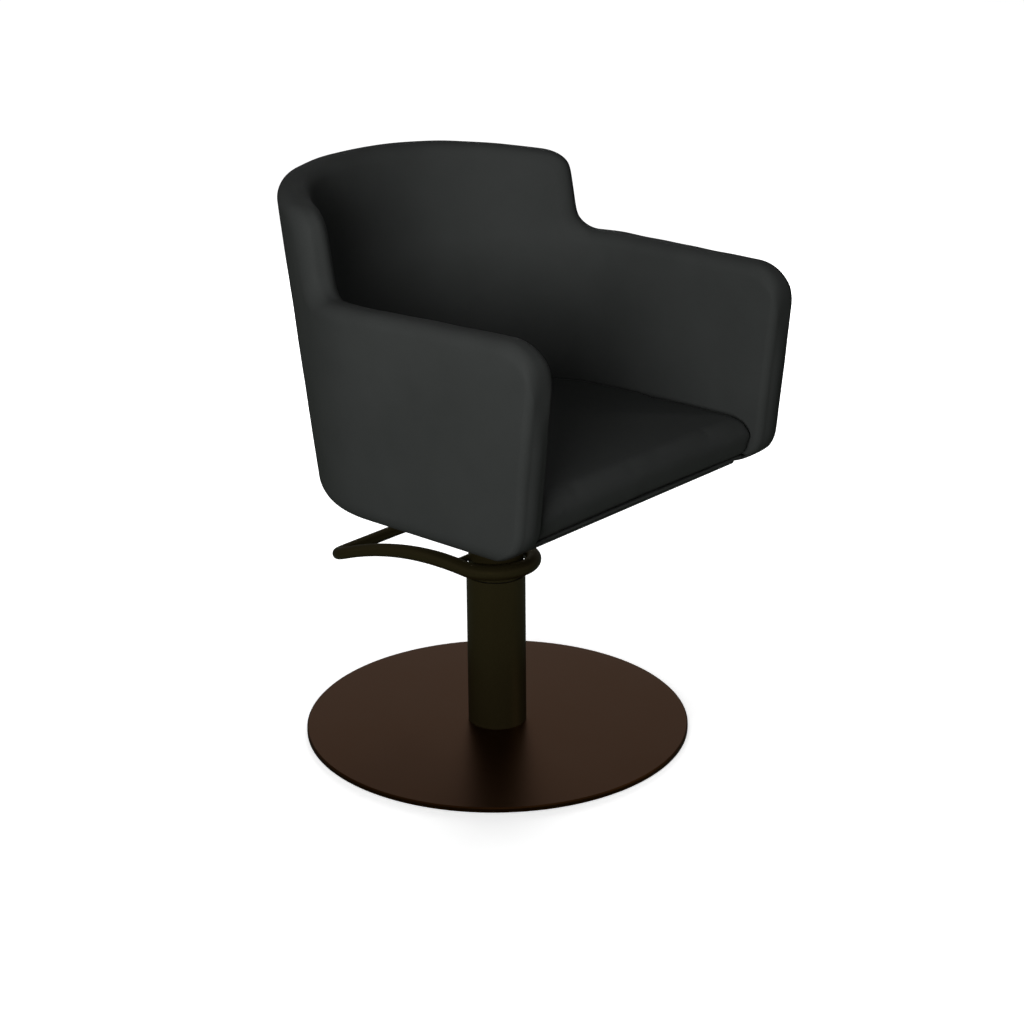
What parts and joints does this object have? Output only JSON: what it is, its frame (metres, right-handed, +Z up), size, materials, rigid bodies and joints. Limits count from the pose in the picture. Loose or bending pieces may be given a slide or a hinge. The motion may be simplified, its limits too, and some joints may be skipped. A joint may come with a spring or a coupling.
{
  "type": "hairdressing chair",
  "caption": "Hairdressing chair with a padded tub seat that turns and rises on a foot-pumped column over a round flat base.",
  "frame": {"origin": "on the floor, at the column's axis, under the rubber cap of the column", "axes": "+Z up along the column; the sitter faces -Y; +X is to the sitter's left; stored with the lift fully up"},
  "size_m": [0.6584, 0.6608, 0.92],
  "materials": {
    "pad_rubber": "matt black rubber",
    "dark_steel": "satin dark brown-black coating on steel",
    "plain_steel": "plain machined or zinc-plated steel",
    "bright_steel": "ground and hard-chromed steel",
    "bearing_bronze": "bearing bronze, oiled",
    "bush_plastic": "black nylon",
    "plywood": "raw birch plywood",
    "foam": "cream moulded polyurethane foam",
    "black_cover": "fine-grained black leather-look upholstery cover with a soft sheen",
    "panel_plastic": "matt black fibreboard-thick plastic sheet"
  },
  "bodies": {
    "base": {"floor_pads": "pad_rubber", "column_cap": "pad_rubber", "base_plate": "dark_steel", "foot_bolts": "plain_steel", "foot_block": "plain_steel", "column_tube": "dark_steel", "thrust_washer": "bearing_bronze", "upper_bush": "bush_plastic"},
    "pump": {"pump_bottom": "plain_steel", "pump_body": "plain_steel", "tie_rods": "plain_steel", "valve_block": "plain_steel", "inner_cylinder": "plain_steel", "oil_pipe": "bearing_bronze", "plunger_barrel": "plain_steel", "pump_head": "dark_steel", "guide_bush": "bearing_bronze", "wiper_seal": "pad_rubber", "pivot_pins": "plain_steel", "plunger_spring": "bright_steel"},
    "lever": {"foot_lever": "dark_steel", "lever_bridge": "dark_steel"},
    "plunger": {"plunger": "bright_steel"},
    "seat": {"lift_rod": "bright_steel", "lift_piston": "plain_steel", "piston_seal": "pad_rubber", "rod_bolt": "plain_steel", "seat_flange": "plain_steel", "flange_washers": "plain_steel", "flange_bolts": "plain_steel", "tee_nuts": "plain_steel", "seat_board": "plywood", "tub_shell": "plywood", "shell_screws": "plain_steel", "tub_foam": "foam", "tub_cover": "black_cover", "seat_foam": "foam", "seat_cover": "black_cover", "front_trim": "black_cover", "closing_panel": "panel_plastic", "panel_screws": "plain_steel"}
  },
  "joints": [
    {"name": "swivel", "type": "hinge", "parent": "base", "child": "pump", "pos_m": [0, 0, 0], "axis": [0, 0, 1], "continuous": true},
    {"name": "lift", "type": "slide", "parent": "pump", "child": "seat", "axis": [0, 0, 1], "range_m": [-0.12, 0]},
    {"name": "lever_press", "type": "hinge", "parent": "pump", "child": "lever", "pos_m": [0, 0, 0.29], "axis": [-1, 0, 0], "range_deg": [0, 16], "stiffness_Nm_per_rad": 20, "springref_deg": -17.19},
    {"name": "plunger_slide", "type": "slide", "parent": "pump", "child": "plunger", "axis": [0, 0, -1], "range_m": [0, 0.0096], "deforming": ["plunger_spring"]}
  ],
  "couplings": [
    {"joint": "plunger_slide", "follows": "lever_press", "m_per_rad": 0.0336}
  ]
}
